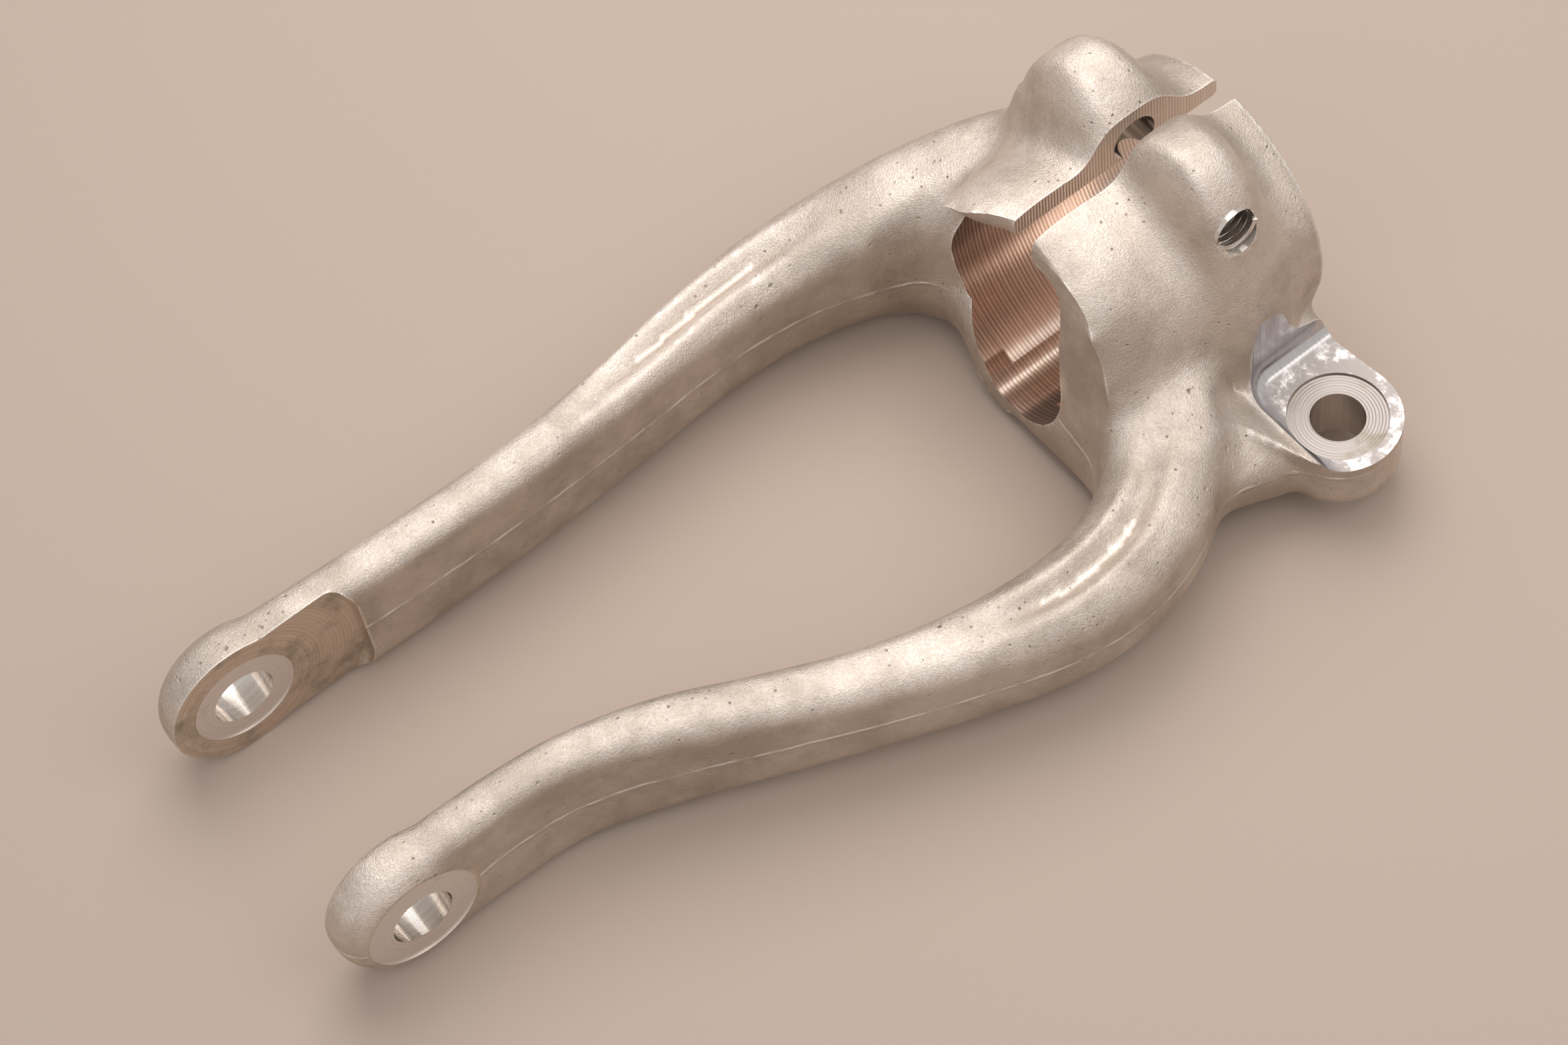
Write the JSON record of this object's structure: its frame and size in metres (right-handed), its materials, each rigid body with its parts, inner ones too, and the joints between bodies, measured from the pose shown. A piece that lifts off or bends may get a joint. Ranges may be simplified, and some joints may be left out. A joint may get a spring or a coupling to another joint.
{
  "type": "shock absorber bracket",
  "caption": "One-piece forged aluminium damper fork: a slit clamp holds the shock absorber, curved legs end in bolt eyes and a side lug takes a link.",
  "frame": {"origin": "on the axis of the eye bolt, between the eyes, 40 mm in from the near eye's milled face", "axes": "+X from the eyes to the clamp, along the clamp bore's axis; +Y along the eye bolt, away from the lug's side; +Z along the lug's hole, up out of its milled face"},
  "size_m": [0.2506, 0.1303, 0.0808],
  "materials": {
    "forged_aluminium": "satin forged skin with bright machined bores and faces"
  },
  "bodies": {
    "root": {"damper_fork": "forged_aluminium"}
  },
  "joints": []
}
